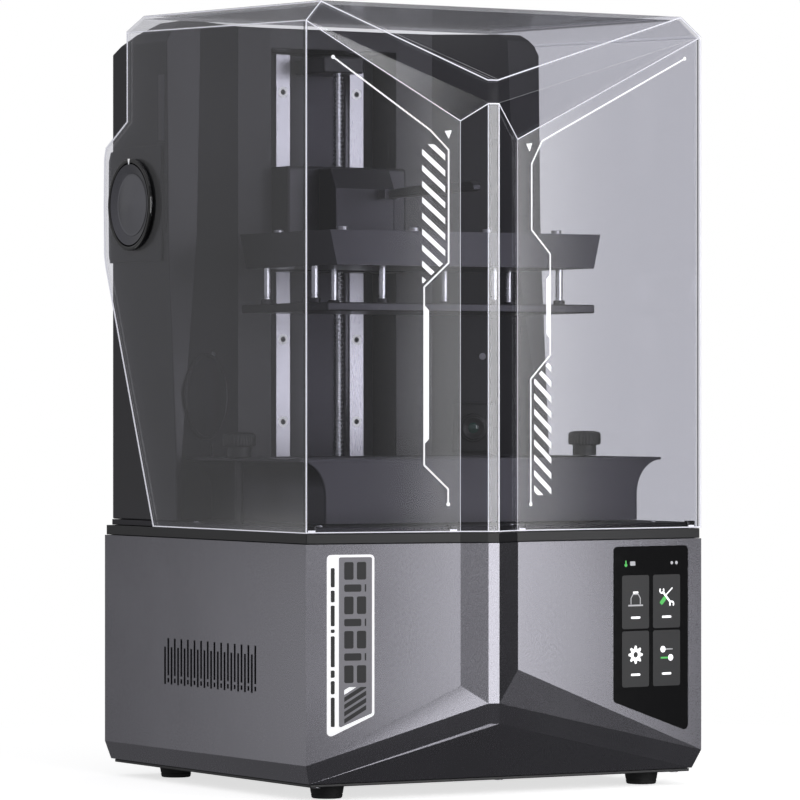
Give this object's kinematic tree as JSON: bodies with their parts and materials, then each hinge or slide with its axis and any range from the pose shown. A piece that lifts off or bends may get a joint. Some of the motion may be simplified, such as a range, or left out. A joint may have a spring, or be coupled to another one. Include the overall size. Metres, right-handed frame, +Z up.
{
  "type": "resin printer",
  "caption": "Desktop resin printer: faceted metal base with vat and exposure screen, clear flip-up lid and Z axis tower.",
  "frame": {"origin": "middle of the outer box, on the surface that the feet stand on", "axes": "+X to the printer's right as seen from the front, +Y to the rear, +Z up; the front faces -Y"},
  "size_m": [0.3274, 0.3292, 0.5505],
  "materials": {
    "housing_paint": "dark grey metallic powder coat",
    "dark_plastic": "fine moulded texture",
    "tower_plastic": "satin dark grey",
    "clear_plastic": "clear, slightly smoky acrylic",
    "black_rubber": "matt",
    "polished_steel": "ground and polished",
    "anodised_grey": "dark grey anodised",
    "bare_aluminium": "milled",
    "screen_glass": "black glass",
    "circuit_board": "solder mask",
    "release_film": "clear film"
  },
  "bodies": {
    "base": {"base_shell": "housing_paint", "deck_band": "dark_plastic", "deck_cover": "bare_aluminium", "bottom_plate": "dark_plastic", "foot_front_left": "black_rubber", "foot_front_right": "black_rubber", "foot_rear_left": "black_rubber", "foot_rear_right": "black_rubber", "screen_glass": "screen_glass", "screen_module": "dark_plastic", "lcd_panel": "screen_glass", "light_hood": "anodised_grey", "led_array": "circuit_board", "heat_sink": "bare_aluminium", "fan_frame": "dark_plastic", "mainboard": "circuit_board", "power_supply": "bare_aluminium", "power_inlet": "dark_plastic", "usb_socket": "polished_steel", "tower_cover": "tower_plastic", "camera_module": "dark_plastic", "filter_cover": "tower_plastic", "hinge_pin_left": "polished_steel", "hinge_pin_right": "polished_steel", "z_column": "bare_aluminium", "rail_left": "polished_steel", "rail_right": "polished_steel", "z_motor": "dark_plastic", "top_bearing": "anodised_grey"},
    "lid": {"lid": "clear_plastic", "lid_hub_left": "dark_plastic", "lid_hub_right": "dark_plastic", "hinge_plate_left": "tower_plastic", "hinge_plate_right": "tower_plastic"},
    "screw": {"lead_screw": "polished_steel", "screw_coupler": "bare_aluminium"},
    "carriage": {"carriage_plate": "anodised_grey", "lead_nut": "bare_aluminium", "bearing_block_left": "bare_aluminium", "bearing_block_right": "bare_aluminium", "carriage_block": "anodised_grey", "platform_head": "anodised_grey", "lever_bracket": "bare_aluminium"},
    "lever": {"release_lever": "polished_steel"},
    "plate": {"build_plate": "bare_aluminium", "guide_pin_1": "polished_steel", "guide_pin_2": "polished_steel", "guide_pin_3": "polished_steel", "guide_pin_4": "polished_steel", "guide_pin_5": "polished_steel", "guide_pin_6": "polished_steel", "guide_pin_7": "polished_steel", "guide_pin_8": "polished_steel"},
    "vat": {"vat_body": "anodised_grey", "release_film": "release_film"},
    "knob_left": {"vat_knob_left": "dark_plastic"},
    "knob_right": {"vat_knob_right": "dark_plastic"},
    "fan": {"fan_rotor": "dark_plastic"},
    "rocker": {"power_rocker": "dark_plastic"}
  },
  "joints": [
    {"name": "lid_hinge", "type": "hinge", "parent": "base", "child": "lid", "pos_m": [0, 0.1201, 0.4133], "axis": [-1, 0, 0], "range_deg": [0, 85]},
    {"name": "carriage_slide", "type": "slide", "parent": "base", "child": "carriage", "axis": [0, 0, 1], "range_m": [-0.1465, 0.065]},
    {"name": "screw_spin", "type": "hinge", "parent": "base", "child": "screw", "pos_m": [0, 0.1023, 0.3], "axis": [0, 0, 1], "range_deg": [-6600, 3160]},
    {"name": "lever_hinge", "type": "hinge", "parent": "carriage", "child": "lever", "pos_m": [0.0177, 0.0572, 0.4222], "axis": [-1, 0, 0], "range_deg": [0, 60]},
    {"name": "plate_float", "type": "slide", "parent": "carriage", "child": "plate", "axis": [0, 0, 1], "range_m": [0, 0.003], "stiffness_N_per_m": 4000, "springref_m": -0.006},
    {"name": "vat_lift", "type": "slide", "parent": "base", "child": "vat", "axis": [0, 0, 1], "range_m": [0, 0.06]},
    {"name": "knob_left_turn", "type": "hinge", "parent": "vat", "child": "knob_left", "pos_m": [-0.1435, -0.0088, 0.24], "axis": [0, 0, 1], "range_deg": [0, 720]},
    {"name": "knob_right_turn", "type": "hinge", "parent": "vat", "child": "knob_right", "pos_m": [0.1435, -0.0088, 0.24], "axis": [0, 0, 1], "range_deg": [0, 720]},
    {"name": "fan_spin", "type": "hinge", "parent": "base", "child": "fan", "pos_m": [0, -0.0127, 0.033], "axis": [0, 0, 1], "continuous": true},
    {"name": "power_rock", "type": "hinge", "parent": "base", "child": "rocker", "pos_m": [-0.1213, 0.1562, 0.048], "axis": [1, 0, 0], "range_deg": [-6, 6]}
  ],
  "couplings": [
    {"joint": "screw_spin", "follows": "carriage_slide", "rad_per_m": 785.4}
  ]
}
